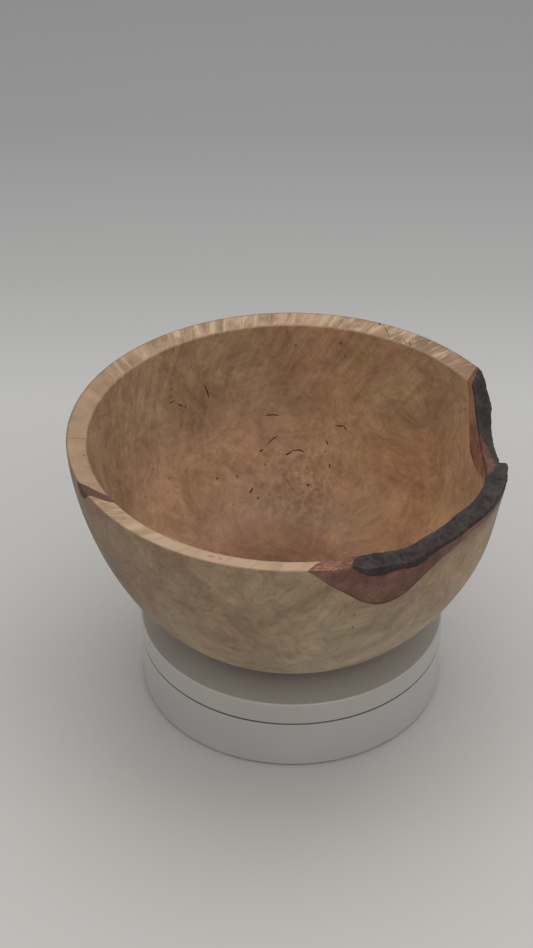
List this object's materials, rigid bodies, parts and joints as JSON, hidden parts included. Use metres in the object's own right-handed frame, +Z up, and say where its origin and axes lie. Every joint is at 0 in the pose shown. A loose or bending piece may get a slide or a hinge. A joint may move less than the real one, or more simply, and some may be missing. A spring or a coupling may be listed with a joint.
{
  "type": "live-edge bowl on rotating display stand",
  "caption": "Turned burl bowl with a natural bark edge, standing on a two-part white rotating display stand driven by a small battery gearmotor.",
  "frame": {"origin": "on the turning axis, in the plane that the stand rests on", "axes": "+Z up along the turning axis; the picture looks along +Y with +X to the right; the broken bark edge is on the +X, -Y side"},
  "size_m": [0.2042, 0.2064, 0.1402],
  "materials": {
    "shell_white": "satin white moulded plastic",
    "cover_grey": "fine-textured pale grey plastic",
    "foot_rubber": "matt black rubber",
    "screw_steel": "zinc-plated steel",
    "race_steel": "ground bearing steel",
    "ball_steel": "polished bearing steel",
    "cage_brass": "plain brass",
    "pin_steel": "turned steel",
    "wheel_nylon": "dark grey nylon",
    "gearbox_plastic": "dark grey moulded plastic",
    "gear_nylon": "natural nylon",
    "motor_steel": "drawn steel can",
    "motor_cap": "white nylon",
    "cell_sleeve": "plain shrink sleeve",
    "contact_nickel": "nickel-plated spring steel",
    "switch_black": "black moulded plastic",
    "wire_sleeve": "red and black insulated wire",
    "platter_white": "satin white moulded plastic",
    "burl_wood": "turned burl, thin satin oil finish",
    "bark_red": "turned reddish inner bark, granular",
    "bark_dark": "weathered charcoal outer bark, wrinkled",
    "bark_pocket_red": "reddish bark pocket, sanded flush"
  },
  "bodies": {
    "base": {"base_shell": "shell_white", "bottom_cover": "cover_grey", "foot_ring": "foot_rubber", "cover_screws": "screw_steel", "bearing_outer_race": "race_steel", "wheel_axles": "pin_steel", "gearbox_case": "gearbox_plastic", "gearbox_lid": "gearbox_plastic", "gearbox_screws": "screw_steel", "output_bush": "cage_brass", "motor_can": "motor_steel", "motor_end_cap": "motor_cap", "battery_cells": "cell_sleeve", "contact_plates": "contact_nickel", "contact_springs": "contact_nickel", "switch_body": "switch_black", "switch_terminals": "cage_brass", "wiring": "wire_sleeve"},
    "platter": {"platter_shell": "platter_white", "ring_gear": "gear_nylon", "ring_gear_screws": "screw_steel", "spindle": "pin_steel", "spindle_screws": "screw_steel", "bearing_inner_race": "race_steel", "spindle_washer": "screw_steel", "retaining_screw": "screw_steel"},
    "bearing_cage": {"bearing_balls": "ball_steel", "ball_cage": "cage_brass"},
    "wheel_1": {"support_wheel_1": "wheel_nylon"},
    "wheel_2": {"support_wheel_2": "wheel_nylon"},
    "wheel_3": {"support_wheel_3": "wheel_nylon"},
    "motor_output": {"output_shaft": "pin_steel", "drive_pinion": "gear_nylon"},
    "door": {"battery_door": "cover_grey"},
    "rocker": {"switch_rocker": "switch_black"},
    "bowl": {"bowl_wood": "burl_wood", "inner_bark": "bark_red", "outer_bark": "bark_dark", "bark_pocket": "bark_pocket_red"}
  },
  "joints": [
    {"name": "platter_spin", "type": "hinge", "parent": "base", "child": "platter", "pos_m": [0, 0, 0.03], "axis": [0, 0, 1], "continuous": true},
    {"name": "bearing_cage_spin", "type": "hinge", "parent": "base", "child": "bearing_cage", "pos_m": [0, 0, 0.022], "axis": [0, 0, 1], "continuous": true},
    {"name": "motor_output_spin", "type": "hinge", "parent": "base", "child": "motor_output", "pos_m": [0, -0.036, 0.03], "axis": [0, 0, 1], "continuous": true},
    {"name": "support_wheel_1_spin", "type": "hinge", "parent": "base", "child": "wheel_1", "pos_m": [0.05369, 0.031, 0.0215], "axis": [0.866, 0.5, 0], "continuous": true},
    {"name": "support_wheel_2_spin", "type": "hinge", "parent": "base", "child": "wheel_2", "pos_m": [-0.05369, 0.031, 0.0215], "axis": [-0.866, 0.5, 0], "continuous": true},
    {"name": "support_wheel_3_spin", "type": "hinge", "parent": "base", "child": "wheel_3", "pos_m": [0, -0.062, 0.0215], "axis": [0, -1, 0], "continuous": true},
    {"name": "battery_door_slide", "type": "slide", "parent": "base", "child": "door", "axis": [0, -1, 0], "range_m": [0, 0.006]},
    {"name": "switch_rocker_tilt", "type": "hinge", "parent": "base", "child": "rocker", "pos_m": [0, 0.0706, 0.0136], "axis": [0, 0, 1], "range_deg": [0, 20]},
    {"name": "bowl_lift", "type": "slide", "parent": "platter", "child": "bowl", "axis": [0, 0, 1], "range_m": [0, 0.05]}
  ],
  "couplings": [
    {"joint": "bearing_cage_spin", "follows": "platter_spin", "ratio": 0.368},
    {"joint": "motor_output_spin", "follows": "platter_spin", "ratio": 4},
    {"joint": "support_wheel_1_spin", "follows": "platter_spin", "ratio": -7.75},
    {"joint": "support_wheel_2_spin", "follows": "platter_spin", "ratio": -7.75},
    {"joint": "support_wheel_3_spin", "follows": "platter_spin", "ratio": -7.75}
  ]
}
